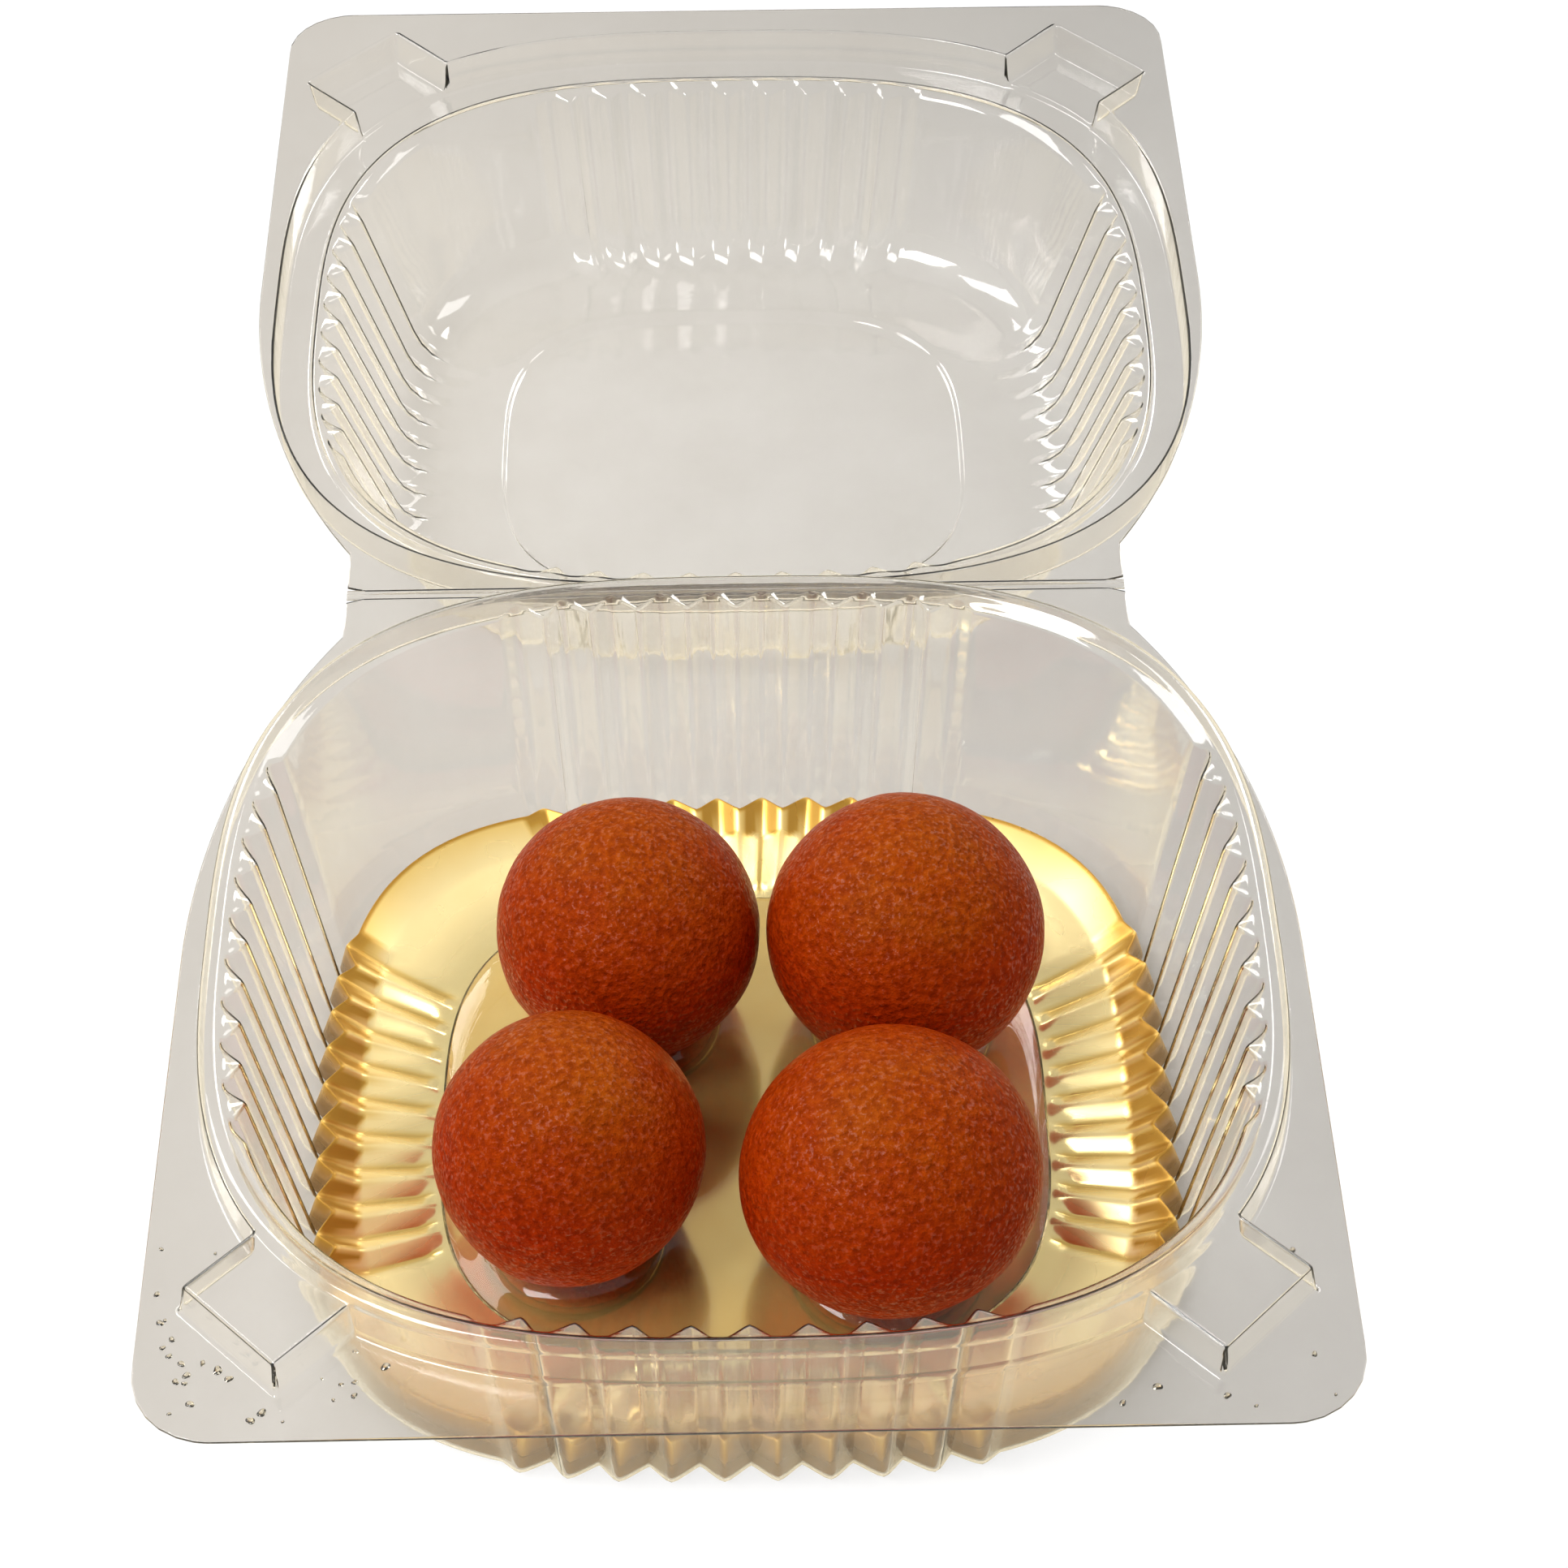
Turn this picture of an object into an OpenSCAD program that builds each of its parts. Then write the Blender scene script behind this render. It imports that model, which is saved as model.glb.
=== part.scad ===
// Clear hinged sweet box, opened flat, with four gulab jamuns on a gold tray
// The bowl stands on its foot at the origin, +Y runs back to the hinge and the lid, +Z is up

/* [Clear sheet] */
// Thickness of the formed clear sheet
sheet_t = 0.4; // [0.3:0.05:0.5]
// Depth of the flutes pressed into the clear walls
flute_depth = 2.5; // [1:0.1:3]
// Distance between neighbouring flutes at the bowl's mouth
flute_pitch = 7.5; // [6.5:0.1:8]
// How much closer together the flutes stand at the bowl's foot
pitch_drop = 0.5; // [0.2:0.1:0.8]
// Number of flutes along each of the four walls
flutes = 10; // [6:1:10]

/* [Bowl] */
// Half width of the mouth, side to side
mouth_half_x = 69.2; // [65:0.2:74]
// Half depth of the mouth, front to back
mouth_half_y = 67.3; // [63:0.2:72]
// How far each side wall draws in from the mouth to the foot
draw_x = 6.8; // [4:0.1:9]
// How far the front and back walls draw in from the mouth to the foot
draw_y = 5.9; // [4:0.1:9]
// Height of the flange above the foot
flange_h = 36; // [28:1:46]
// Radius where a wall turns into the floor
foot_r = 1.2; // [0.8:0.1:2]
// Squareness of the mouth, where 2 is an ellipse
mouth_n = 2.9; // [2.5:0.1:3.2]
// Squareness of the foot, where 2 is an ellipse
foot_n = 3.2; // [2.6:0.1:3.4]

/* [Collar] */
// Width of the raised collar round the mouth
collar_w = 3.6; // [3:0.1:4.5]
// Height of the collar above the flange
collar_h = 6; // [5:0.1:7]
// Rounding of the collar's crest
collar_r = 0.9; // [0.6:0.1:1.2]
// How far the collar's outer wall leans in over its height
collar_draft = 0.4; // [0.2:0.1:0.6]
// Height over which each flute closes where it meets the collar's crest
flute_ledge = 0.8; // [0.5:0.1:1.5]

/* [Flange] */
// Width of the flange beside the collar
flange_side = 3.4; // [3:0.1:6]
// Width of the flange in front of the collar
flange_front = 7; // [5:0.1:12]
// Distance from the collar to the hinge's fold
flange_back = 2.3; // [2:0.1:4]
// Radius of the two front corners
corner_r = 10.5; // [6:0.5:14]
// How far past the fold the rounded shoulders would meet
shoulder_reach = 25.8; // [20:0.2:40]

/* [Hinge] */
// Half the length of the fold
hinge_half = 58; // [50:1:62]
// Width of one leaf of the hinge
leaf_w = 0.9; // [0.7:0.1:1.2]
// Thickness of the sheet where it folds
crease_t = 0.25; // [0.15:0.05:0.3]
// Gap between the two leaves at the fold
crease_gap = 0.1; // [0.05:0.05:0.2]
// Gap between the two flanges of the closed box
closed_gap = 0.3; // [0.2:0.05:0.6]

/* [Latch] */
// Width of the raised latch square on each front corner
boss_w = 17.4; // [12:0.2:18]
// How far the latch square runs out from the collar
boss_len = 11.6; // [9:0.2:13]
// Height of the latch square above the flange
boss_h = 5; // [3:0.1:5]
// How far each side of the latch square leans over its height
boss_draft = 0.8; // [0.4:0.1:1.2]

/* [Lid] */
// Clearance of the lid round the collar and the latch squares
socket_gap = 0.6; // [0.4:0.1:0.9]
// Clearance of the lid over the collar's crest and the latch squares
socket_drop = 0.5; // [0.3:0.1:1]
// Clearance between the lid's plug lip and the bowl's mouth
plug_gap = 1.4; // [1.3:0.1:2]
// Width of the plug lip
plug_w = 1.5; // [1.2:0.1:2.4]
// How far the plug lip stands up from the floor of the socket
plug_depth = 1; // [0.6:0.1:1.2]
// How far each side of the dome draws in to the panel
lid_draw_x = 9.2; // [6:0.2:13]
// How far the front and back of the dome draw in to the panel
lid_draw_y = 10; // [6:0.2:13]
// Width of the border round the panel's middle
panel_border = 19; // [12:0.5:24]
// How far the panel's middle stands proud of its border
panel_step = 0.8; // [0.4:0.1:1.5]

/* [Tray] */
// Thickness of the gold tray
tray_t = 0.3; // [0.2:0.05:0.5]
// Gap between the tray's skirt and the bowl's wall
tray_gap = 0.9; // [0.7:0.1:1.5]
// Gap between the tray and the bowl's floor
tray_seat = 0.3; // [0.2:0.1:0.5]
// Height of the tray
tray_h = 5.8; // [4:0.2:8]
// Width of the tray's down-turned skirt
skirt_w = 2.2; // [1.6:0.1:3]
// Width of the tray's fluted border
border_w = 16; // [12:0.5:18]
// Depth of the flutes in the tray
tray_flute_depth = 2.2; // [1:0.1:2.6]
// Height of the tray's floor above its skirt's lower edge
tray_floor_rise = 0.9; // [0.4:0.1:1.2]
// Squareness of the tray's crest, where 2 is an ellipse
tray_crest_n = 3.5; // [2.8:0.1:4]
// Squareness of the tray's floor, where 2 is an ellipse
tray_floor_n = 3.2; // [2.6:0.1:4]

/* [Sweets] */
// Middle diameter of a gulab jamun
jamun_d = 39.2; // [34:0.2:43]
// Height of a gulab jamun over the tray's floor
jamun_seat = 0.3; // [0.2:0.1:0.6]
// Gap between the two sweets at the back
back_gap = 0.3; // [0.2:0.1:3]
// Gap between the two sweets on the left
left_gap = 3.3; // [0.3:0.1:4]
// Gap between the two sweets on the right
right_gap = 2.1; // [0.3:0.1:4]

/* [Syrup] */
// Depth of the syrup in the tray
syrup_depth = 1.3; // [0.6:0.1:2.4]
// Clearance of the syrup round the sweets and at its shore
syrup_gap = 0.3; // [0.2:0.05:0.5]

/* [Hidden] */

// Bowl and collar
foot_half_x = mouth_half_x - draw_x;
foot_half_y = mouth_half_y - draw_y;
collar_half_x = mouth_half_x + collar_w;
collar_half_y = mouth_half_y + collar_w;
crest_half_x = collar_half_x - collar_draft;
crest_half_y = collar_half_y - collar_draft;
crest_z = flange_h + collar_h;
ledge_z = crest_z - collar_r;

// Flange and hinge
flange_half_x = collar_half_x + flange_side;
front_y = collar_half_y + flange_front;
hinge_y = collar_half_y + flange_back;
shell_back_y = hinge_y - leaf_w;
shoulder_y = hinge_y + shoulder_reach;
hinge_z = flange_h + closed_gap / 2;

// Lid, drawn as a bowl round the origin and then mirrored behind the hinge
socket_half_x = collar_half_x + socket_gap;
socket_half_y = collar_half_y + socket_gap;
socket_z = flange_h - collar_h - socket_drop;
plug_half_x = mouth_half_x - plug_gap;
plug_half_y = mouth_half_y - plug_gap;
plug_z = socket_z + plug_depth;
lid_mouth_x = plug_half_x - plug_w;
lid_mouth_y = plug_half_y - plug_w;
panel_half_x = lid_mouth_x - lid_draw_x;
panel_half_y = lid_mouth_y - lid_draw_y;
middle_half_x = panel_half_x - panel_border;
middle_half_y = panel_half_y - panel_border;

// Tray
skirt_half_x = foot_half_x - tray_gap;
skirt_half_y = foot_half_y - tray_gap;
tray_crest_x = skirt_half_x - skirt_w;
tray_crest_y = skirt_half_y - skirt_w;
tray_floor_x = tray_crest_x - border_w;
tray_floor_y = tray_crest_y - border_w;
tray_bottom_z = sheet_t + tray_seat;
tray_floor_z = tray_bottom_z + tray_floor_rise + tray_t;
tray_top_z = tray_bottom_z + tray_h;

// Grid of a formed sheet: half a flute a step along the walls, 8 steps round a corner
ZONE_STEPS = 2 * flutes;
CORNER_STEPS = 8;
SIDE_STEPS = ZONE_STEPS + CORNER_STEPS;
SAMPLES = 4 * SIDE_STEPS;

// Shares of the way from one named place to the next
corner_inset_share = 0.5;
flat_ring_share = 0.88;
core_share = 0.75;
flange_ring_shares = [0.4, 0.7];
tray_shore_share = 0.35;

// Sweets, in the order front left, front right, back left, back right
JAMUN_FACETS = 40;
jamun_width_shares = [0.95, 1.055, 0.965, 1.015];
jamun_height_shares = [0.98, 0.955, 0.965, 1.0];
back_left_place_shares = [-0.37, 0.44];
back_turn = -3;
left_turn = -101;
right_turn = -95;

// Distance from the centre to a superellipse in the direction t
function oval_r(t, half_x, half_y, n) =
    pow(pow(abs(cos(t)) / half_x, n) + pow(abs(sin(t)) / half_y, n), -1 / n);

// Direction of step i of the fluted stretch on wall q, where 0 is the right wall and 1 the back
// The flutes stand closer together where the ring is smaller
function flute_angle(q, i, half_x, half_y) =
    let (pitch = flute_pitch + pitch_drop * (half_x - mouth_half_x) / draw_x)
    90 * q + atan((i - flutes) * pitch / 2 / (q % 2 == 0 ? half_x : half_y));

// Sideways offset of corner sample k from the corner's diagonal, with the latch square at 2 to 6
function corner_offset(k, fit) =
    let (side = sign(k - CORNER_STEPS / 2), far = abs(k - CORNER_STEPS / 2))
    side * (far == 0 ? 0 : boss_w / 2 + fit + (far > 1 ? boss_draft : 0));

// Direction of sample s on a ring of the given row
// A ring smaller than the core takes the directions of the same ring at the core's size
function sample_angle(s, row, fit) =
    let (
        q = floor(s / SIDE_STEPS),
        i = s % SIDE_STEPS,
        k = i - ZONE_STEPS,
        scaling = max(1, mouth_half_x * core_share / row[0]),
        half_x = row[0] * scaling,
        half_y = row[1] * scaling,
        corner_dist = oval_r(45, half_x, half_y, row[4]),
        diagonal = 90 * q + 45,
        square_end = asin(corner_offset(2, fit) / corner_dist)
    )
    k <= 0 ? flute_angle(q, i, half_x, half_y)
    : k == 1 ? (flute_angle(q, ZONE_STEPS, half_x, half_y) + diagonal + square_end) / 2
    : k == CORNER_STEPS - 1 ? (flute_angle(q + 1, 0, half_x, half_y) + diagonal - square_end) / 2
    : diagonal + asin(corner_offset(k, fit) / corner_dist);

// How much of the flute depth sample s lies in from the wall's outermost line
function inset_share(s) =
    let (i = s % SIDE_STEPS)
    i == 0 || i >= ZONE_STEPS ? corner_inset_share : i % 2 == 0 ? 1 : 0;

// One ring of a formed sheet, a row being [half width, half depth, height, flute depth, squareness]
function ring(row, fit = 0) =
    [for (s = [0:SAMPLES - 1])
        let (
            t = sample_angle(s, row, fit),
            r = oval_r(t, row[0], row[1], row[4]) - row[3] * inset_share(s)
        )
        [r * cos(t), r * sin(t), row[2]]];

// Normal on the underside of the stretch from row a to row b
function under(a, b) =
    let (d = [b[0] - a[0], b[2] - a[2]]) [d[1], -d[0]] / norm(d);

// Rows moved by one sheet thickness to the underside, mitred where the profile turns
function under_rows(rows, t, last_normal) =
    [for (i = [0:len(rows) - 1])
        let (
            ahead = i < len(rows) - 1 ? under(rows[i], rows[i + 1]) : last_normal,
            behind = i > 0 ? under(rows[i - 1], rows[i]) : ahead,
            m = (ahead + behind) * t / (1 + ahead * behind),
            row = rows[i]
        )
        [row[0] + m[0], row[1] + m[0], row[2] + m[1], row[3], row[4]]];

// Half the angle that the fluted stretch of wall q spans at the collar's foot
function zone_angle(q) = flute_angle(q, ZONE_STEPS, collar_half_x, collar_half_y) - 90 * q;

// Point of the flange's edge beside the bowl, where the shoulder is an ellipse behind the middle
function side_edge(t) =
    sin(t) < 0 ? [flange_half_x * sign(cos(t)), flange_half_x * sin(t) / abs(cos(t))]
    : oval_r(t, flange_half_x, shoulder_y, 2) * [cos(t), sin(t)];

// Corner of the flange's edge from the right side round to the hinge, as one step k of the eight
function shoulder_edge(k) =
    let (
        start = side_edge(zone_angle(0)),
        neck_y = shoulder_y * sqrt(1 - pow(hinge_half / flange_half_x, 2)),
        y = start[1] + (neck_y - start[1]) * k / 4,
        end_x = shell_back_y * tan(zone_angle(1))
    )
    k <= 4 ? [flange_half_x * sqrt(1 - pow(y / shoulder_y, 2)), y]
    : [hinge_half + (end_x - hinge_half) * (k - 5) / 3, shell_back_y];

// Corner of the flange's edge from the front round to the right side, as one step k of the eight
function front_edge(k) =
    let (
        start = [front_y * tan(zone_angle(3)), -front_y],
        centre = [flange_half_x - corner_r, corner_r - front_y],
        arc = (k - 2) * 90 / 4 - 90,
        end = side_edge(-zone_angle(0))
    )
    k == 1 ? (start + centre - [0, corner_r]) / 2
    : k == CORNER_STEPS - 1 ? (end + centre + [corner_r, 0]) / 2
    : centre + corner_r * [cos(arc), sin(arc)];

function flip_x(p) = [-p[0], p[1]];

// Edge of the flange at sample s
function edge_point(s) =
    let (
        q = floor(s / SIDE_STEPS),
        i = s % SIDE_STEPS,
        k = i - ZONE_STEPS,
        t = flute_angle(q, i, collar_half_x, collar_half_y)
    )
    k <= 0 && q % 2 == 0 ? side_edge(t)
    : k <= 0 && q == 1 ? [shell_back_y * cos(t) / sin(t), shell_back_y]
    : k <= 0 ? [-front_y * cos(t) / sin(t), -front_y]
    : q == 0 ? shoulder_edge(k)
    : q == 1 ? flip_x(shoulder_edge(CORNER_STEPS - k))
    : q == 2 ? flip_x(front_edge(CORNER_STEPS - k))
    : front_edge(k);

// True where sample s lies on a latch square's top, or within its foot
function in_square(s, reach) =
    let (i = s % SIDE_STEPS, k = i - ZONE_STEPS)
    s >= 2 * SIDE_STEPS && k > 0 && abs(k - CORNER_STEPS / 2) <= reach;

// Place on the diagonal of sample s, at the distance along and the corner sample's own offset
function square_point(s, along, fit, grow) =
    let (
        q = floor(s / SIDE_STEPS),
        offset = corner_offset(s % SIDE_STEPS - ZONE_STEPS, fit),
        across = offset + sign(offset) * grow,
        t = 90 * q + 45
    )
    along * [cos(t), sin(t)] + across * [-sin(t), cos(t)];

// The three rings of the flange: the latch squares' outer top edges, their outer feet, the rim
// rise is the squares' height, fit widens them and grow is the wall's offset on the underside
function flange_rings(collar_ring, z, rise, fit, grow) =
    let (
        corner_dist = oval_r(45, collar_half_x, collar_half_y, mouth_n) + boss_len + fit + grow,
        reaches = [corner_dist - boss_draft, corner_dist]
    )
    concat(
        [for (j = [0:1])
            [for (s = [0:SAMPLES - 1])
                let (
                    near = [collar_ring[s][0], collar_ring[s][1]],
                    place = in_square(s, 2) ? square_point(s, reaches[j], fit, grow)
                        : near + (edge_point(s) - near) * flange_ring_shares[j],
                    lift = j == 0 && in_square(s, 1) ? rise : 0
                )
                [place[0], place[1], z + lift]]],
        [[for (s = [0:SAMPLES - 1]) let (edge = edge_point(s)) [edge[0], edge[1], z]]]
    );

// The collar's foot or the socket's rim, lifted to the latch squares where these meet it
function joined_ring(row, rise, fit, grow) =
    let (
        plain = ring(row, fit),
        corner_dist = oval_r(45, row[0], row[1], row[4])
    )
    [for (s = [0:SAMPLES - 1])
        let (
            offset = corner_offset(s % SIDE_STEPS - ZONE_STEPS, fit),
            across = offset + sign(offset) * grow,
            t = floor(s / SIDE_STEPS) * 90 + 45 + asin(across / corner_dist),
            r = oval_r(t, row[0], row[1], row[4])
        )
        in_square(s, 2) ? [r * cos(t), r * sin(t), row[2] + (in_square(s, 1) ? rise : 0)] : plain[s]];

// Closed sheet between rings of its upper side and of its underside, from the middle to the rim
module formed_sheet(upper, lower) {
    rows = len(upper);
    points = concat(
        [for (r = upper) each r],
        [for (r = lower) each r],
        [[0, 0, upper[0][0][2]], [0, 0, lower[0][0][2]]]
    );
    under_start = rows * SAMPLES;
    top_middle = 2 * under_start;
    low_middle = top_middle + 1;
    faces = [
        for (s = [0:SAMPLES - 1])
            let (n = (s + 1) % SAMPLES)
            each concat(
                [[top_middle, n, s], [low_middle, under_start + s, under_start + n]],
                [for (r = [0:rows - 2])
                    let (
                        a = r * SAMPLES + s,
                        b = r * SAMPLES + n,
                        c = b + SAMPLES,
                        d = a + SAMPLES,
                        u = under_start
                    )
                    each [[a, b, c], [a, c, d], [u + a, u + c, u + b], [u + a, u + d, u + c]]],
                let (
                    a = (rows - 1) * SAMPLES + s,
                    b = (rows - 1) * SAMPLES + n,
                    u = under_start
                )
                [[a, b, u + b], [a, u + b, u + a]]
            )
    ];
    polyhedron(points = points, faces = faces, convexity = 10);
}

// Bowl with its fluted walls, raised collar, flange and two latch squares, in one formed sheet
module base_shell() {
    rows = [
        [foot_half_x * flat_ring_share, foot_half_y * flat_ring_share, sheet_t, 0, foot_n],
        [foot_half_x - foot_r, foot_half_y - foot_r, sheet_t, flute_depth, foot_n],
        [foot_half_x, foot_half_y, sheet_t + foot_r, flute_depth, foot_n],
        [mouth_half_x, mouth_half_y, ledge_z - flute_ledge, flute_depth, mouth_n],
        [mouth_half_x, mouth_half_y, ledge_z, 0, mouth_n],
        [mouth_half_x + collar_r, mouth_half_y + collar_r, crest_z, 0, mouth_n],
        [crest_half_x - collar_r, crest_half_y - collar_r, crest_z, 0, mouth_n],
        [crest_half_x, crest_half_y, crest_z - collar_r, 0, mouth_n],
        [collar_half_x, collar_half_y, flange_h, 0, mouth_n]
    ];
    under = under_rows(rows, sheet_t, [0, -1]);
    last = len(rows) - 1;
    collar_foot = joined_ring(rows[last], boss_h, 0, 0);
    collar_under = joined_ring(under[last], boss_h, 0, -sheet_t);
    color([0.86, 0.87, 0.88, 0.45])
        formed_sheet(
            concat(
                [for (i = [0:last - 1]) ring(rows[i])],
                [collar_foot],
                flange_rings(collar_foot, flange_h, boss_h, 0, 0)
            ),
            concat(
                [for (i = [0:last - 1]) ring(under[i])],
                [collar_under],
                flange_rings(collar_under, flange_h - sheet_t, boss_h, 0, -sheet_t)
            )
        );
}

// Moves a bowl drawn round the origin to the lid's place, mirrored at the hinge
module behind_hinge() {
    translate([0, 2 * hinge_y, 0])
        mirror([0, 1, 0])
            children();
}

// Domed lid with its socket for the collar and its pockets for the latch squares
module lid_shell() {
    pocket = -boss_h - socket_drop;
    border_z = sheet_t + panel_step;
    rows = [
        [middle_half_x, middle_half_y, sheet_t, 0, foot_n],
        [middle_half_x + panel_step, middle_half_y + panel_step, border_z, 0, foot_n],
        [panel_half_x - foot_r, panel_half_y - foot_r, border_z, flute_depth, foot_n],
        [panel_half_x, panel_half_y, border_z + foot_r, flute_depth, foot_n],
        [lid_mouth_x, lid_mouth_y, plug_z - foot_r, flute_depth, mouth_n],
        [lid_mouth_x + sheet_t, lid_mouth_y + sheet_t, plug_z, 0, mouth_n],
        [plug_half_x, plug_half_y, plug_z, 0, mouth_n],
        [plug_half_x + sheet_t, plug_half_y + sheet_t, socket_z, 0, mouth_n],
        [socket_half_x - collar_draft, socket_half_y - collar_draft, socket_z, 0, mouth_n],
        [socket_half_x, socket_half_y, flange_h, 0, mouth_n]
    ];
    under = under_rows(rows, sheet_t, [0, -1]);
    last = len(rows) - 1;
    socket_rim = joined_ring(rows[last], pocket, socket_gap, 0);
    socket_under = joined_ring(under[last], pocket, socket_gap, sheet_t);
    color([0.86, 0.87, 0.88, 0.45])
        behind_hinge()
            formed_sheet(
                concat(
                    [for (i = [0:last - 1]) ring(rows[i], socket_gap)],
                    [socket_rim],
                    flange_rings(socket_rim, flange_h, pocket, socket_gap, 0)
                ),
                concat(
                    [for (i = [0:last - 1]) ring(under[i], socket_gap)],
                    [socket_under],
                    flange_rings(socket_under, flange_h - sheet_t, pocket, socket_gap, sheet_t)
                )
            );
}

// One leaf of the fold, thinned from the sheet to the crease
module hinge_leaf() {
    fold_y = hinge_y - crease_gap / 2;
    color([0.8, 0.82, 0.84, 0.5])
        rotate([90, 0, 90])
            linear_extrude(height = 2 * hinge_half, center = true)
                polygon([
                    [shell_back_y, flange_h - sheet_t],
                    [fold_y, flange_h - crease_t],
                    [fold_y, flange_h],
                    [shell_back_y, flange_h]
                ]);
}

module base_hinge_leaf() {
    hinge_leaf();
}

module lid_hinge_leaf() {
    behind_hinge()
        hinge_leaf();
}

// Shallow gold tray with a flat floor, a fluted border and a down-turned fluted skirt
module gold_tray() {
    shore_x = tray_floor_x + skirt_w;
    shore_y = tray_floor_y + skirt_w;
    shore_flute = tray_flute_depth * tray_shore_share;
    rows = [
        [tray_floor_x * flat_ring_share, tray_floor_y * flat_ring_share, tray_floor_z, 0, tray_floor_n],
        [tray_floor_x, tray_floor_y, tray_floor_z, 0, tray_floor_n],
        [shore_x, shore_y, tray_floor_z + tray_seat, shore_flute, tray_floor_n],
        [tray_crest_x - tray_t, tray_crest_y - tray_t, tray_top_z - tray_t, tray_flute_depth, tray_crest_n],
        [tray_crest_x + tray_t, tray_crest_y + tray_t, tray_top_z, tray_flute_depth, tray_crest_n],
        [skirt_half_x, skirt_half_y, tray_bottom_z, flute_depth, foot_n]
    ];
    under = under_rows(rows, tray_t, [-1, 0]);
    color("goldenrod")
        formed_sheet([for (row = rows) ring(row)], [for (row = under) ring(row)]);
}

// Outline of the syrup's shore on the tray's floor
function shore_points() =
    [for (t = [0:5:355])
        oval_r(t, tray_floor_x - syrup_gap, tray_floor_y - syrup_gap, tray_floor_n) * [cos(t), sin(t)]];

// Half width, half height and place of sweet i, each place worked out from its neighbour's
function jamun_r(i) = jamun_d / 2 * jamun_width_shares[i];
function jamun_half_h(i) = jamun_d / 2 * jamun_height_shares[i];
function beside(place, i, j, gap, turn) =
    place + (jamun_r(i) + jamun_r(j) + gap) * [cos(turn), sin(turn)];
back_left_place = [
    tray_floor_x * back_left_place_shares[0],
    tray_floor_y * back_left_place_shares[1]
];
back_right_place = beside(back_left_place, 2, 3, back_gap, back_turn);
front_left_place = beside(back_left_place, 2, 0, left_gap, left_turn);
front_right_place = beside(back_right_place, 3, 1, right_gap, right_turn);
jamun_places = [front_left_place, front_right_place, back_left_place, back_right_place];

// Round fried sweet i, a little wider than high, or the room that it takes with a clearance
module jamun_body(i, clearance = 0) {
    r = jamun_r(i) + clearance;
    half_h = jamun_half_h(i) + clearance;
    place = jamun_places[i];
    translate([place[0], place[1], tray_floor_z + jamun_seat + jamun_half_h(i)])
        rotate_extrude($fn = 96)
            polygon([for (k = [0:JAMUN_FACETS])
                let (t = 180 * k / JAMUN_FACETS - 90)
                [r * max(0, k == JAMUN_FACETS ? 0 : cos(t)), half_h * sin(t)]]);
}

// Shallow pool of clear syrup round the feet of the sweets
module syrup_pool() {
    color([0.85, 0.62, 0.25, 0.5])
        difference() {
            translate([0, 0, tray_floor_z])
                linear_extrude(height = syrup_depth)
                    polygon(shore_points());
            for (i = [0:3])
                jamun_body(i, syrup_gap);
        }
}

module gulab_jamun_front_left() {
    color([0.45, 0.14, 0.05]) jamun_body(0);
}

module gulab_jamun_front_right() {
    color([0.48, 0.15, 0.05]) jamun_body(1);
}

module gulab_jamun_back_left() {
    color([0.5, 0.17, 0.07]) jamun_body(2);
}

module gulab_jamun_back_right() {
    color([0.5, 0.17, 0.06]) jamun_body(3);
}

base_shell();
lid_shell();
base_hinge_leaf();
lid_hinge_leaf();
gold_tray();
syrup_pool();
gulab_jamun_front_left();
gulab_jamun_front_right();
gulab_jamun_back_left();
gulab_jamun_back_right();
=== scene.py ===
"""Clear hinged sweet box, opened flat, with four fried sweets in syrup on a fluted gold tray."""

import math

import bpy
import numpy as np
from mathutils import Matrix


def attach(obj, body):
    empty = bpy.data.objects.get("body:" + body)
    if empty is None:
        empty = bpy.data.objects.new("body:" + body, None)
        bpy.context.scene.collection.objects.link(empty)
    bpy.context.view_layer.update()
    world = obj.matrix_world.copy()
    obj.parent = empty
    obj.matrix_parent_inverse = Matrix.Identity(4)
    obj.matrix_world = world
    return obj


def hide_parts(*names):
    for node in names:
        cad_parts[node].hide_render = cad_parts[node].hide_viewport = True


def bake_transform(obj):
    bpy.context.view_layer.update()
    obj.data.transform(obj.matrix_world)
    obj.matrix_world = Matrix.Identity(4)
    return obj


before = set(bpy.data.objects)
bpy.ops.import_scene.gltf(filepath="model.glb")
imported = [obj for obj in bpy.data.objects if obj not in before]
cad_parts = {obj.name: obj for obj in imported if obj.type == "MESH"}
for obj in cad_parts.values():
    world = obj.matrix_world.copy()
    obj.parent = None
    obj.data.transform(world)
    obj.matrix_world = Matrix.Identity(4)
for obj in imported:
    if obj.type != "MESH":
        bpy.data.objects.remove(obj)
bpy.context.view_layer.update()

# ---------------------------------------------------------------- camera
# The photograph's own viewpoint: about 46 degrees down over the front edge, through a long lens.
# Its place and turn were worked out from the flange's corners, the hinge and the lid's far corners.
# Here and below, lengths are in millimetres and MM carries them over to metres.
MM = 0.001
CAMERA_PLACE = (-1.217, -346.131, 421.801)
CAMERA_DOWN, CAMERA_YAW, CAMERA_ROLL = 45.548, 1.135, -0.106
CAMERA_LENS, CAMERA_FILM = 87.54, 36.0

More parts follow.
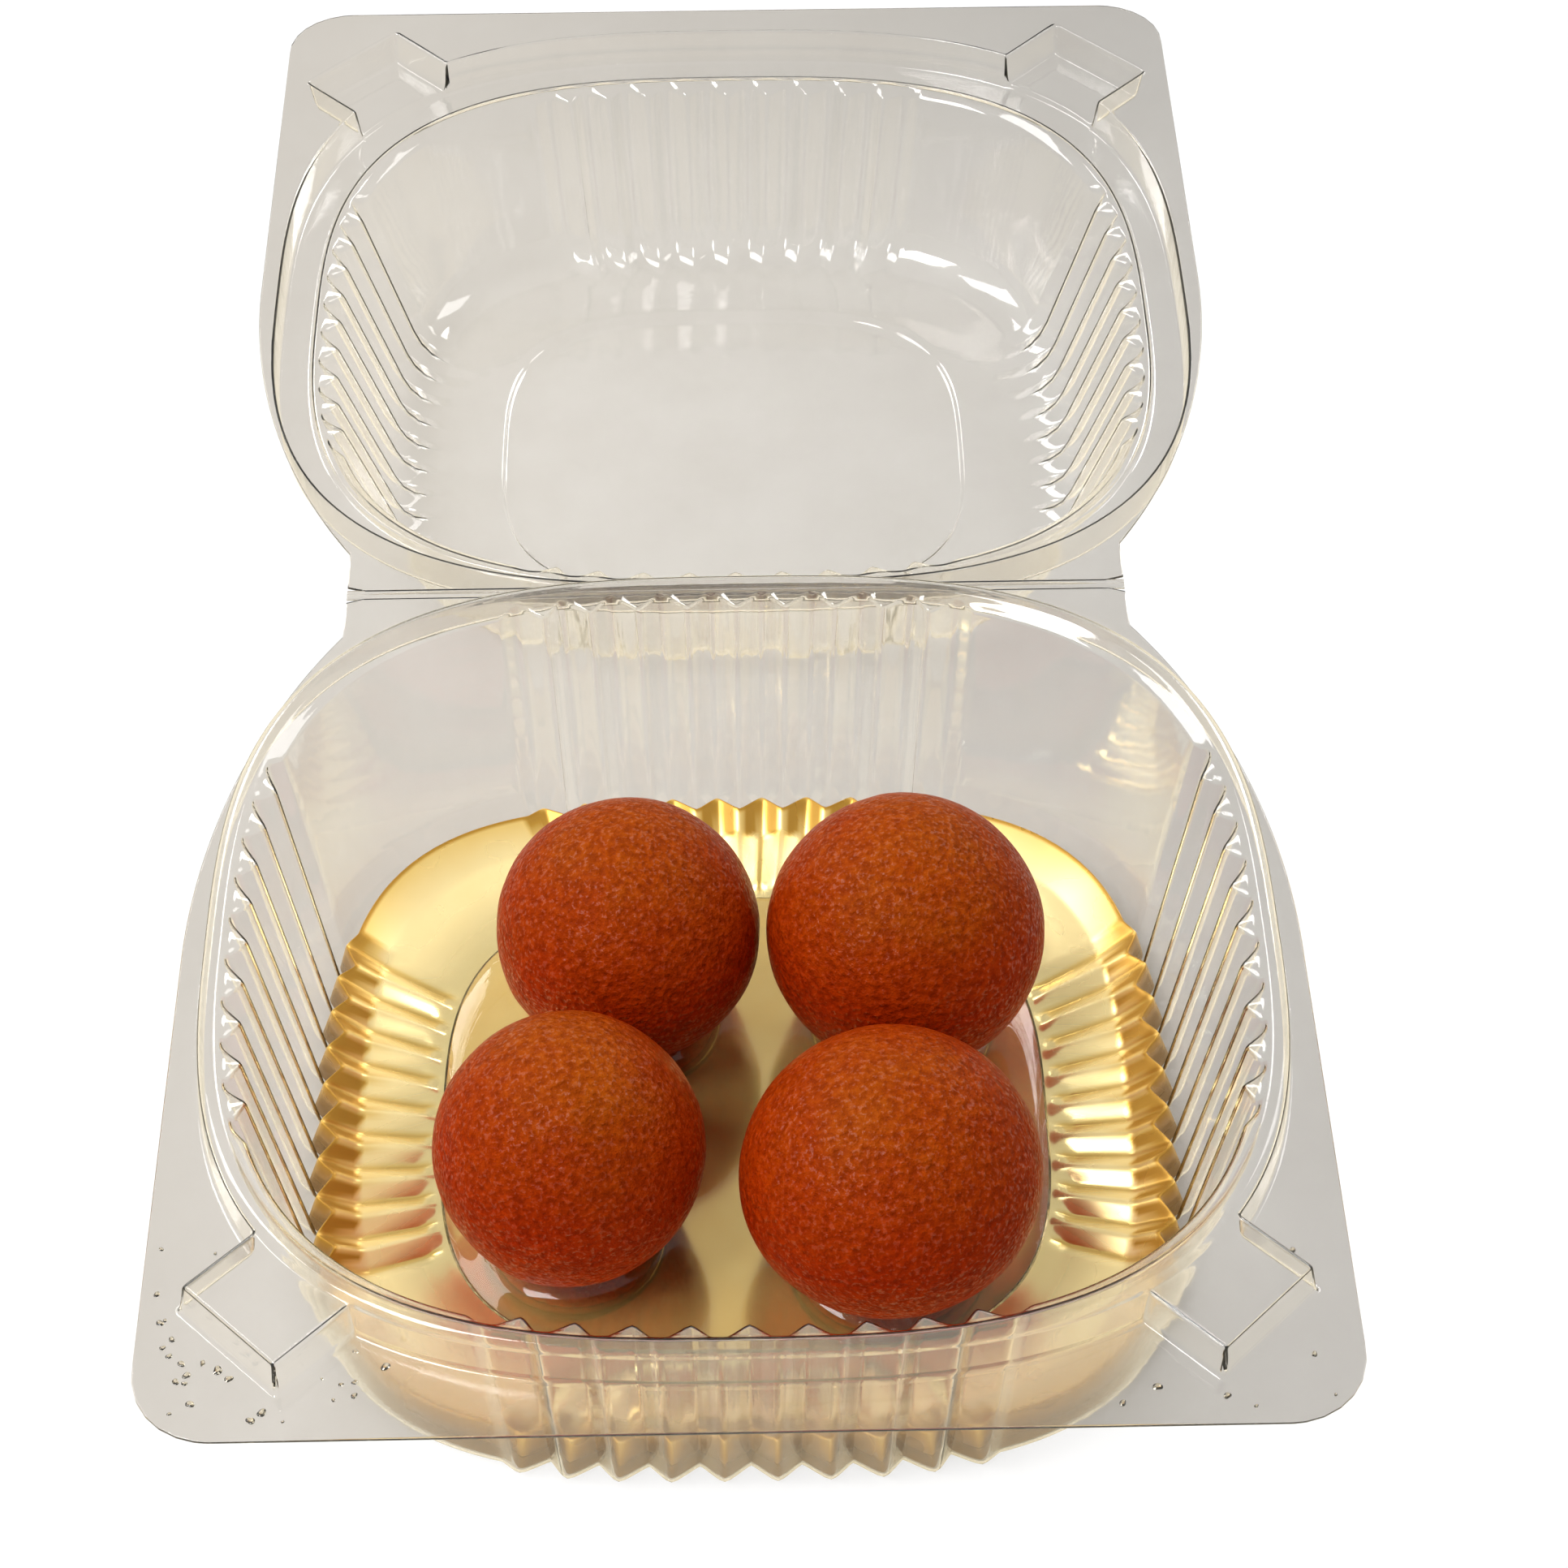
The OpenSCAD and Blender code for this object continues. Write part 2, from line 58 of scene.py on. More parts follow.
down, yaw, roll = (math.radians(a) for a in (CAMERA_DOWN, CAMERA_YAW, CAMERA_ROLL))
ahead = np.array([math.sin(yaw) * math.cos(down), math.cos(yaw) * math.cos(down), -math.sin(down)])
level = np.array([math.cos(yaw), -math.sin(yaw), 0.0])
upward = np.cross(level, ahead)
right = level * math.cos(roll) + upward * math.sin(roll)
upward = upward * math.cos(roll) - level * math.sin(roll)
lens = bpy.data.cameras.new("camera")
lens.lens, lens.sensor_width, lens.sensor_fit = CAMERA_LENS, CAMERA_FILM, "HORIZONTAL"
lens.clip_start, lens.clip_end = 0.01, 20.0
camera = bpy.data.objects.new("camera", lens)
pose = np.eye(4)
pose[:3, 0], pose[:3, 1], pose[:3, 2] = right, upward, -ahead
pose[:3, 3] = np.array(CAMERA_PLACE) * MM
camera.matrix_world = pose.T.tolist()
bpy.context.scene.collection.objects.link(camera)
bpy.context.scene.camera = camera

# ---------------------------------------------------------------- bowl
# The lower half of the box: clear plastic sheet drawn over a mould, with fluted walls, a hollow
# collar round the mouth, a flat flange, and a raised square on each front corner that latches the lid.
# Half sizes are given as (x, y). The flutes' pitch grows with a ring's size, and the rings that are
# smaller than CORE_HALF take the directions of a ring of that size.
SHEET = 0.4
MOUTH, MOUTH_SQUARENESS = (69.2, 67.3), 2.9
FOOT, FOOT_SQUARENESS, FOOT_CURVE = (62.4, 61.4), 3.2, 1.2
FLANGE_Z, CREST_Z = 36.0, 42.0
COLLAR, COLLAR_CURVE, COLLAR_LEAN = (72.8, 70.9), 0.9, 0.4
FLUTES, FLUTE_DEPTH, FLUTE_PITCH, PITCH_GROWTH = 10, 2.5, 7.5, 0.5 / 6.8
FLUTE_EDGE, FLUTE_LEDGE = 0.96, 0.8
CORE_HALF = 51.9
FLANGE_SIDE, FLANGE_FRONT, FLANGE_CURVE = 76.2, 77.9, 10.5
SHOULDER_Y, HINGE_HALF, HINGE_Y, LEAF = 99.0, 58.0, 73.2, 0.9
LATCH_HALF, LATCH_LENGTH, LATCH_HEIGHT, LATCH_LEAN = 8.7, 11.6, 5.0, 0.8
LATCH_MARGIN, LATCH_FADE, FLANGE_REACH = 0.2, 1.2, 98.0
HEM, HEM_SHARE = 0.25, 0.85
FLUTE_STEPS, BLEND_STEPS = 12, 6
CURVE_LIMIT, CURVE_STEPS, CUT_LENGTH = 0.45, 5, 6
FLOOR_SHARES, FLANGE_SHARES, TINY = (0.45, 0.88), (0.4, 0.7), 1e-6
BOWL_CURVES = [3.0, 1.2, 1.2, 0.5, 0.5, 0.5, 0.6, 0.5, 0.7, 0.6, 0.6, 0.05]
LATCH_STEPS = np.array([2.4, 4.8, 6.8, 7.9, 8.35, 8.6, 8.8, 9.0, 9.2, 9.4, 9.6, 9.85, 10.2])


def smooth(x):
    """Soft step from 0 to 1: three x squared less two x cubed, held at 0 and 1 outside."""
    x = np.clip(x, 0.0, 1.0)
    return x * x * (3 - 2 * x)


def mix(start, end, share):
    """From start to end by a share from 0 to 1: start plus the way to end times the share."""
    return start + (end - start) * share


def oval(turn, half_x, half_y, squareness):
    """Distance from the middle to a superellipse: away is where the n-th powers of away times cos over half_x
    and away times sin over half_y add up to 1, with n the squareness."""
    wide, deep = np.abs(np.cos(turn)) / half_x, np.abs(np.sin(turn)) / half_y
    return (wide**squareness + deep**squareness) ** (-1 / squareness)


# One column runs from the middle of the floor to the flange's edge. A column is on a wall, at a
# lane counted in flutes, or on a corner, at an offset from its diagonal, or part of the way between.
lanes = np.linspace(-FLUTES / 2, FLUTES / 2, FLUTES * FLUTE_STEPS + 1)
offsets = np.concatenate([-LATCH_STEPS[::-1], [0.0], LATCH_STEPS])
pulls = np.arange(1, BLEND_STEPS + 1) / (BLEND_STEPS + 1)
wall, lane, corner, offset, pull = [], [], [], [], []
for quarter in range(4):
    counts = [len(lanes), BLEND_STEPS, len(offsets), BLEND_STEPS]
    wall += [np.repeat([quarter, quarter, quarter, quarter + 1], counts)]
    lane += [lanes, np.full(BLEND_STEPS, lanes[-1]), np.zeros(len(offsets)), np.full(BLEND_STEPS, lanes[0])]
    corner += [np.full(sum(counts), quarter)]
    offset += [np.zeros(len(lanes)), np.full(BLEND_STEPS, offsets[0]), offsets, np.full(BLEND_STEPS, offsets[-1])]
    pull += [np.zeros(len(lanes)), pulls, np.ones(len(offsets)), pulls[::-1]]
wall, lane, corner, offset, pull = (np.concatenate(a).astype(float) for a in (wall, lane, corner, offset, pull))
diagonal = (corner + 0.5) * math.pi / 2
along_corner = np.stack([np.cos(diagonal), np.sin(diagonal)], 1)
across_corner = np.stack([-np.sin(diagonal), np.cos(diagonal)], 1)
# Across a flute the sheet follows a triangle wave with rounded tips: the arcsine of most of a cosine
folded = 0.5 + np.arcsin(FLUTE_EDGE * np.cos(2 * math.pi * lane)) / (2 * math.asin(FLUTE_EDGE))
on_wall = folded * np.where(np.abs(lane) > FLUTES / 2 - 0.5, 0.5, 1.0)
inset = np.where(pull == 0, on_wall, 0.5)
in_front = corner >= 2
on_square = smooth((LATCH_HALF + LATCH_LEAN + LATCH_MARGIN - np.abs(offset)) / LATCH_FADE)
latch_top = np.where(in_front & (pull == 1), on_square, 0.0)


def ring(half, z, depth, squareness, fit=0.0):
    """One ring of a formed sheet: a superellipse, drawn in at each column by its share of the flute's depth."""
    size = max(1.0, CORE_HALF / half[0])
    wide, deep = half[0] * size, half[1] * size
    pitch = FLUTE_PITCH + PITCH_GROWTH * (wide - MOUTH[0])
    wall_turn = wall * math.pi / 2 + np.arctan(lane * pitch / np.where(wall % 2 == 0, wide, deep))
    corner_turn = diagonal + np.arcsin(offset * (1 + fit / LATCH_HALF) / oval(math.pi / 4, wide, deep, squareness))
    turn = mix(wall_turn, corner_turn, pull)
    away = oval(turn, half[0], half[1], squareness) - depth * inset
    return np.stack([away * np.cos(turn), away * np.sin(turn), np.full_like(turn, z)], 1)


def flange_edge(near):
    """Edge of the flange in the direction of each column: an ellipse and the hinge's line behind, straight sides
    and a front with round corners before. With c a corner's middle, r its radius and u the direction, the corner
    is met at c.u plus the root of r squared less (c x u) squared."""
    turn = np.arctan2(near[:, 1], near[:, 0])
    spread = diagonal + np.arctan(offset / FLANGE_REACH)
    wall_turn = wall * math.pi / 2 + np.arctan(lane * FLUTE_PITCH / np.where(wall % 2 == 0, *COLLAR))
    turn = mix(wall_turn, spread, pull)
    c, s = np.cos(turn), np.sin(turn)
    across_x, across_y = np.maximum(np.abs(c), TINY), np.maximum(np.abs(s), TINY)
    behind = np.minimum(
        np.maximum(oval(turn, FLANGE_SIDE, SHOULDER_Y, 2.0), HINGE_HALF / across_x),
        (HINGE_Y - LEAF) / across_y,
    )
    before = np.minimum(FLANGE_SIDE / across_x, FLANGE_FRONT / across_y)
    cx, cy = FLANGE_SIDE - FLANGE_CURVE, FLANGE_FRONT - FLANGE_CURVE
    aside = cx * np.abs(s) - cy * np.abs(c)
    arc = cx * np.abs(c) + cy * np.abs(s) + np.sqrt(np.maximum(FLANGE_CURVE**2 - aside**2, 0.0))
    on_arc = (arc * np.abs(c) > cx) & (arc * np.abs(s) > cy) & (np.abs(aside) < FLANGE_CURVE)
    away = np.where(s > 0, behind, np.where(on_arc, arc, before))
    return np.stack([away * c, away * s], 1)


def flange_rings(foot_ring, collar, z, rise, fit=0.0):
    """The collar's foot and the flange beyond it: the latch square's two outer edges, on lines across the diagonal,
    and elsewhere shares of the way from the collar to the edge, then a hem close inside the edge and the edge."""
    foot_ring = foot_ring.copy()
    foot_ring[:, 2] += rise * latch_top
    edge = flange_edge(foot_ring)
    rings = [foot_ring]
    reach = oval(math.pi / 4, *collar, MOUTH_SQUARENESS) + LATCH_LENGTH + fit
    for share, distance, lift in zip(FLANGE_SHARES, (reach - LATCH_LEAN, reach), (rise, 0.0)):
        plain = mix(foot_ring[:, :2], edge, share)
        square = distance * along_corner + (offset * (1 + fit / LATCH_HALF))[:, None] * across_corner
        place = mix(plain, square, (smooth(pull) * in_front)[:, None])
        rings.append(np.column_stack([place, z + lift * latch_top]))
    reach_out = edge - foot_ring[:, :2]
    hem_share = np.maximum(1 - HEM / np.linalg.norm(reach_out, axis=1), HEM_SHARE)
    hem = foot_ring[:, :2] + reach_out * hem_share[:, None]
    return rings + [np.column_stack([place, np.full(len(edge), z)]) for place in (hem, edge)]


def soften(rings, curves):
    """Rows through rings, straight between them and rounded at each: a quadratic curve from a point before it to
    a point after it, at its curve's distance or under half of the stretch. Long stretches are cut up."""
    rows = [rings[0]]
    for before, here, after, curve in zip(rings, rings[1:], rings[2:], curves):
        back, on = before - here, after - here
        start = here + back * np.minimum(curve / np.linalg.norm(back, axis=1), CURVE_LIMIT)[:, None]
        end = here + on * np.minimum(curve / np.linalg.norm(on, axis=1), CURVE_LIMIT)[:, None]
        cuts = int(np.linalg.norm(start - rows[-1], axis=1).mean() // CUT_LENGTH)
        rows += [rows[-1] + (start - rows[-1]) * k / (cuts + 1) for k in range(1, cuts + 1)]
        rows += [(1 - k) ** 2 * start + 2 * k * (1 - k) * here + k * k * end for k in np.linspace(0, 1, CURVE_STEPS)]
    return np.array(rows + [rings[-1]])


def mesh_piece(name, points, faces, material):
    """Mesh object at the origin from points in millimetres and index faces, smoothly shaded."""
    mesh = bpy.data.meshes.new(name)
    mesh.from_pydata((np.asarray(points) * MM).tolist(), [], faces)
    mesh.update()
    mesh.shade_smooth()
    mesh.materials.append(material)
    piece = bpy.data.objects.new(name, mesh)
    bpy.context.scene.collection.objects.link(piece)
    return piece


def formed_sheet(name, rows, thickness, material, turned=False):
    """Sheet through rows of rings, closed at the middle by a fan, given its thickness on the underside.
    turned mirrors it at the hinge, y becoming twice the hinge's y less y, with its faces reversed."""
    count, around = rows.shape[:2]
    points = np.concatenate([[rows[0].mean(0)], rows.reshape(-1, 3)])
    s = np.arange(around)
    n = (s + 1) % around
    fan = np.stack([np.zeros(around, int), 1 + s, 1 + n], 1)
    r = 1 + np.arange(count - 1)[:, None] * around
    quads = np.stack([r + s, r + around + s, r + around + n, r + n], -1).reshape(-1, 4)
    if turned:
        points[:, 1] = 2 * HINGE_Y - points[:, 1]
        fan, quads = fan[:, ::-1], quads[:, ::-1]
    piece = mesh_piece(name, points, fan.tolist() + quads.tolist(), material)
    wall_maker = piece.modifiers.new("thickness", "SOLIDIFY")
    wall_maker.thickness, wall_maker.offset = thickness * MM, -1.0
    return piece


def new_material(name):
    """Empty node material and a short way to add a node with settings and links to it."""
    material = bpy.data.materials.new(name)
    material.use_nodes = True
    tree = material.node_tree
    tree.nodes.clear()
    return material, lambda kind, values=None, **settings: add_node(tree, kind, values, **settings)


def add_node(tree, kind, values=None, **settings):
    """A node whose inputs are set by name: a plain value stays on the socket, an output is linked to it."""
    node = tree.nodes.new("ShaderNode" + kind)
    for key, value in settings.items():
        setattr(node, key, value)
    for key, value in (values or {}).items():
        if isinstance(value, bpy.types.NodeSocket):
            tree.links.new(value, node.inputs[key])
        else:
            node.inputs[key].default_value = value
    return node


def ramp(node_maker, factor, stops):
    """Colour ramp on a factor, from (place, colour) stops."""
    node = node_maker("ValToRGB", {"Fac": factor})
    elements = node.color_ramp.elements
    while len(elements) < len(stops):
        elements.new(0.5)
    for element, (place, colour) in zip(elements, stops):
        element.position, element.color = place, (*colour, 1.0)
    return node.outputs["Color"]


def ripple_group():
    """Unevenness that forming leaves in a sheet: slow waves and faint streaks, as a height from 0 to 1."""
    group = bpy.data.node_groups.new("forming_ripple", "ShaderNodeTree")
    for name, default in (("Wave Scale", 40.0), ("Streak Scale", 300.0), ("Streak Share", 0.3)):
        group.interface.new_socket(name, in_out="INPUT", socket_type="NodeSocketFloat").default_value = default
    group.interface.new_socket("Height", in_out="OUTPUT", socket_type="NodeSocketFloat")
    start, end = group.nodes.new("NodeGroupInput"), group.nodes.new("NodeGroupOutput")
    place = add_node(group, "TexCoord").outputs["Object"]
    wave = add_node(group, "TexNoise", {"Vector": place, "Scale": start.outputs["Wave Scale"], "Detail": 2.0})
    long_way = add_node(group, "Mapping", {"Vector": place, "Scale": (1.0, 1.0, 0.15)})
    streak = add_node(
        group, "TexNoise", {"Vector": long_way.outputs[0], "Scale": start.outputs["Streak Scale"], "Detail": 3.0}
    )
    both = add_node(
        group,
        "Mix",
        {"Factor": start.outputs["Streak Share"], "A": wave.outputs["Fac"], "B": streak.outputs["Fac"]},
    )
    group.links.new(both.outputs["Result"], end.inputs["Height"])
    return group


ripple = ripple_group()


def rippled(node, wave, streak, share, strength, distance):
    """The forming ripple at three scales' settings, as its height and as a surface normal bumped by it."""
    wavy = node("Group", {"Wave Scale": wave, "Streak Scale": streak, "Streak Share": share}, node_tree=ripple)
    bump = node("Bump", {"Height": wavy.outputs["Height"], "Strength": strength, "Distance": distance})
    return wavy.outputs["Height"], bump.outputs["Normal"]


def span(node, value, start, end, low, high):
    """Value carried from its range, start to end, over to low to high, and held there outside the range."""
    return node("MapRange", {0: value, 1: start, 2: end, 3: low, 4: high}).outputs[0]


def see_through(node, surface, tint):
    """Material output of a clear surface: for rays from lamps it's a tinted transparent shader instead."""
    open_side = node("BsdfTransparent", {"Color": (*tint, 1.0)})
    path = node("LightPath")
    mixed = node("MixShader", {0: path.outputs["Is Shadow Ray"], 1: surface.outputs[0], 2: open_side.outputs[0]})
    node("OutputMaterial", {"Surface": mixed.outputs[0]})


def clear_sheet_material():
    """Clear sheet: smooth, nearly colourless glass of a plastic's index with a faint ripple."""
    material, node = new_material("clear_formed_sheet")
    height, normal = rippled(node, 60.0, 420.0, 0.25, 0.12, 0.0006)
    tint = ramp(node, height, ((0.3, (0.94, 0.93, 0.915)), (0.7, (0.975, 0.97, 0.96))))
    glass = node(
        "BsdfPrincipled",
        {
            "Base Color": tint,
            "Roughness": span(node, height, 0.3, 0.7, 0.03, 0.07),
            "IOR": 1.50,
            "Transmission Weight": 1.0,
            "Normal": normal,
        },
    )
    see_through(node, glass, (0.955, 0.95, 0.94))
    return material


clear_sheet = clear_sheet_material()
bowl_keys = [
    *(ring([h * share for h in FOOT], SHEET, 0.0, FOOT_SQUARENESS) for share in FLOOR_SHARES),
    ring([h - FOOT_CURVE for h in FOOT], SHEET, FLUTE_DEPTH, FOOT_SQUARENESS),
    ring(FOOT, SHEET + FOOT_CURVE, FLUTE_DEPTH, FOOT_SQUARENESS),
    ring(MOUTH, CREST_Z - COLLAR_CURVE - FLUTE_LEDGE, FLUTE_DEPTH, MOUTH_SQUARENESS),
    ring(MOUTH, CREST_Z - COLLAR_CURVE, 0.0, MOUTH_SQUARENESS),
    ring([h + COLLAR_CURVE for h in MOUTH], CREST_Z, 0.0, MOUTH_SQUARENESS),
    ring([h - COLLAR_LEAN - COLLAR_CURVE for h in COLLAR], CREST_Z, 0.0, MOUTH_SQUARENESS),
    ring([h - COLLAR_LEAN for h in COLLAR], CREST_Z - COLLAR_CURVE, 0.0, MOUTH_SQUARENESS),
]
collar_foot = ring(COLLAR, FLANGE_Z, 0.0, MOUTH_SQUARENESS)
bowl_rows = soften(bowl_keys + flange_rings(collar_foot, COLLAR, FLANGE_Z, LATCH_HEIGHT), BOWL_CURVES)
bowl = formed_sheet("clear_bowl", bowl_rows, SHEET, clear_sheet)
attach(bowl, "base")
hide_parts("base_shell")

# ---------------------------------------------------------------- lid
# The upper half, of the same sheet, lying open behind the bowl: a fluted dome with a flat panel,
# a plug lip and a socket that close over the collar, and two pockets for the latch squares.
SOCKET_GAP, SOCKET_Z, PLUG_Z, PLUG_WIDTH = 0.6, 29.5, 30.5, 1.5
SOCKET = [h + SOCKET_GAP for h in COLLAR]
PLUG_GAP, LID_DRAW = 1.4, (9.2, 10.0)
PLUG = [h - PLUG_GAP for h in MOUTH]
DOME = [h - PLUG_WIDTH for h in PLUG]
PANEL = [h - draw for h, draw in zip(DOME, LID_DRAW)]
PANEL_BORDER, PANEL_STEP, PANEL_SHARE, POCKET_EXTRA = 19.0, 0.8, 0.5, 0.5
LID_CURVES = [1.5, 1.5, 6.0, 0.6, 0.4, 0.4, 0.5, 0.7, 0.6, 0.6, 0.6, 0.05]
middle = [h - PANEL_BORDER for h in PANEL]
border_z = SHEET + PANEL_STEP
lid_keys = [
    ring([h * PANEL_SHARE for h in middle], SHEET, 0.0, FOOT_SQUARENESS, SOCKET_GAP),
    ring(middle, SHEET, 0.0, FOOT_SQUARENESS, SOCKET_GAP),
    ring([h + PANEL_STEP for h in middle], border_z, 0.0, FOOT_SQUARENESS, SOCKET_GAP),
    ring([h - FOOT_CURVE / 2 for h in PANEL], border_z, FLUTE_DEPTH, FOOT_SQUARENESS, SOCKET_GAP),
    ring(DOME, PLUG_Z - FOOT_CURVE, FLUTE_DEPTH, MOUTH_SQUARENESS, SOCKET_GAP),
    ring([h + SHEET for h in DOME], PLUG_Z, 0.0, MOUTH_SQUARENESS, SOCKET_GAP),
    ring(PLUG, PLUG_Z, 0.0, MOUTH_SQUARENESS, SOCKET_GAP),
    ring([h + SHEET for h in PLUG], SOCKET_Z, 0.0, MOUTH_SQUARENESS, SOCKET_GAP),
    ring([h - COLLAR_LEAN for h in SOCKET], SOCKET_Z, 0.0, MOUTH_SQUARENESS, SOCKET_GAP),
]
socket_rim = ring(SOCKET, FLANGE_Z, 0.0, MOUTH_SQUARENESS, SOCKET_GAP)
lid_flange = flange_rings(socket_rim, COLLAR, FLANGE_Z, -LATCH_HEIGHT - POCKET_EXTRA, SOCKET_GAP)
lid_rows = soften(lid_keys + lid_flange, LID_CURVES)
lid = formed_sheet("clear_lid", lid_rows, SHEET, clear_sheet, turned=True)
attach(lid, "lid")
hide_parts("lid_shell")

# ---------------------------------------------------------------- fold
# The living hinge: the same sheet pressed thin along a line between the two halves. On the box it bends as
# the lid turns; here it's one flat strip, as the box lies opened flat, that meets the bowl at one edge and the lid
# at the other.
CREASE, CREASE_WIDTH = 0.06, 0.35
FOLD_ROWS, FOLD_COLUMNS, FOLD_END = 17, 57, 0.998
across = np.linspace(-1.0, 1.0, FOLD_ROWS)
lengthwise = HINGE_HALF * np.concatenate([[-1.0], np.linspace(-FOLD_END, FOLD_END, FOLD_COLUMNS), [1.0]])
strip_x, strip_side = np.meshgrid(lengthwise, across)
dip = CREASE * np.exp(-((strip_side / CREASE_WIDTH) ** 2))
top = np.stack([strip_x, HINGE_Y + LEAF * strip_side, FLANGE_Z - dip], -1)
bottom = np.stack([strip_x, HINGE_Y + LEAF * strip_side, FLANGE_Z - SHEET + dip], -1)
strip_points = np.concatenate([top.reshape(-1, 3), bottom.reshape(-1, 3)])
rows_there, cols_there = strip_x.shape
i, j = np.meshgrid(np.arange(rows_there - 1), np.arange(cols_there - 1), indexing="ij")
low_start = rows_there * cols_there
cell = i * cols_there + j
upper_faces = np.stack([cell, cell + 1, cell + cols_there + 1, cell + cols_there], -1).reshape(-1, 4)
lower_faces = upper_faces[:, ::-1] + low_start
loop = np.concatenate(
    [
        np.arange(cols_there),
        np.arange(2, rows_there + 1) * cols_there - 1,
        low_start - 2 - np.arange(cols_there - 1),
        np.arange(rows_there - 2, 0, -1) * cols_there,
    ]
)
after = np.roll(loop, -1)
side_faces = np.stack([loop, loop + low_start, after + low_start, after], -1)
fold_faces = np.concatenate([upper_faces, lower_faces, side_faces]).tolist()
fold = mesh_piece("clear_fold", strip_points, fold_faces, clear_sheet)
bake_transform(fold)
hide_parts("base_hinge_leaf", "lid_hinge_leaf")

# ---------------------------------------------------------------- tray
# The gold tray that stands in the bowl: metallised plastic foil with a flat floor, a fluted
# border that slopes up to a crest, and a fluted skirt turned down to the bowl's foot.
TRAY_T, TRAY_GAP, TRAY_BOTTOM, TRAY_TOP, TRAY_FLOOR = 0.3, 0.9, 1.0, 6.5, 1.9
SKIRT_WIDTH, BORDER_WIDTH, TRAY_FLUTE, CREST_SQUARENESS = 2.2, 16.0, 2.2, 3.5
BAND_WIDTH, BAND_Z, FLUTE_START, TRAY_RELIEF = 5.0, 3.7, 2.6, 1.3
VALLEY_END, RIDGE_START, SKIRT_EDGE, SKIRT_LEAD, BAND_EDGE = 0.22, 0.70, 0.8, 0.8, 1.5
# Strengths of the painted shade in the tray's colour (valleys, band, corners' band, skirt) and of the painted
# highlight on the band's ridges.
VALLEY_SHADE, BAND_SHADE, RIDGE_HIGHLIGHT, CORNER_SHADE, SKIRT_SHADE = 0.40, 0.74, 0.55, 0.26, 0.86
TRAY_SHARES, TRAY_CURVES = (0.5, 0.88), [2.0, 0.7, 0.9, 0.8, 0.5, 0.5]
SKIRT = [h - TRAY_GAP for h in FOOT]
CREST = [h - SKIRT_WIDTH for h in SKIRT]
FLOOR = [h - BORDER_WIDTH for h in CREST]
fluted = np.where(pull == 0, 1.0, 0.0)
tray_keys = [
    *(ring([h * share for h in FLOOR], TRAY_FLOOR, 0.0, FOOT_SQUARENESS) for share in TRAY_SHARES),
    ring(FLOOR, TRAY_FLOOR, 0.0, FOOT_SQUARENESS),
    ring([h + FLUTE_START for h in FLOOR], TRAY_FLOOR + TRAY_T, 0.0, FOOT_SQUARENESS),
    ring([h - BAND_WIDTH for h in CREST], BAND_Z, 0.0, FOOT_SQUARENESS),
    ring([h - TRAY_T for h in CREST], TRAY_TOP - TRAY_T, TRAY_FLUTE, CREST_SQUARENESS),
    ring([h + TRAY_T for h in CREST], TRAY_TOP, TRAY_FLUTE, CREST_SQUARENESS),
    ring(SKIRT, TRAY_BOTTOM, FLUTE_DEPTH, FOOT_SQUARENESS),
]
for border_ring in tray_keys[3:5]:
    border_ring[:, 2] += TRAY_RELIEF * (inset - 0.5) * fluted
tray_rows = soften(tray_keys, TRAY_CURVES)
# Painted shade and highlights in the foil's colour at each point, 0 where it's bright and 1 where it's painted
# brown:
# painted shade on the skirt and most at its edge, on the steep band inside the crest, less on the corners' band, and
# a little in the valleys; painted highlights on the band's ridges and on the skirt's outward tips.
tray_way = np.arctan2(tray_rows[..., 1], tray_rows[..., 0])
tray_away = np.hypot(tray_rows[..., 0], tray_rows[..., 1])
past_crest = tray_away + TRAY_FLUTE * inset - oval(tray_way, *CREST, CREST_SQUARENESS)
on_skirt = smooth(past_crest / SKIRT_EDGE + SKIRT_LEAD)
on_band = smooth((past_crest + BAND_WIDTH) / BAND_EDGE)
on_border = smooth((tray_away - oval(tray_way, *FLOOR, FOOT_SQUARENESS)) / SKIRT_WIDTH)
valley = smooth((VALLEY_END - inset) / VALLEY_END) * fluted
ridge = smooth((inset - RIDGE_START) / (1 - RIDGE_START)) * fluted
band_painted_shade = on_band * np.where(fluted, BAND_SHADE - RIDGE_HIGHLIGHT * ridge, CORNER_SHADE)
skirt_painted_shade = SKIRT_SHADE + VALLEY_SHADE * (smooth(past_crest / SKIRT_WIDTH) - valley)
tray_painted_shade = mix(mix(on_border * valley * VALLEY_SHADE, band_painted_shade, on_band), skirt_painted_shade, on_skirt)


